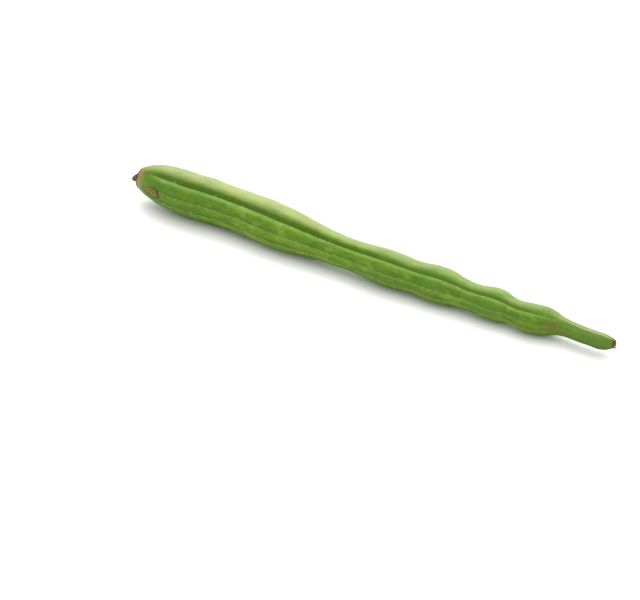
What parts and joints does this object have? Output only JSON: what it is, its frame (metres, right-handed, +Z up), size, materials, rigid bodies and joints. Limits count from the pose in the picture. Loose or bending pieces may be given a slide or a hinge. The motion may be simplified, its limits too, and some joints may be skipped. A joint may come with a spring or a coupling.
{
  "type": "drumstick pod",
  "caption": "Fresh moringa drumstick pod, long, slim and ribbed, with seed swellings, a dried stalk stub and a blunt beak, lying as picked.",
  "frame": {"origin": "on the table that the pod lies on, under the middle of the pod's box", "axes": "+X along the pod from its stem end to its beak, +Z up, -Y towards the side that faces the viewer"},
  "size_m": [0.3014, 0.0272, 0.0256],
  "materials": {
    "skin": "satin"
  },
  "bodies": {
    "root": {"pod": "skin"}
  },
  "joints": []
}
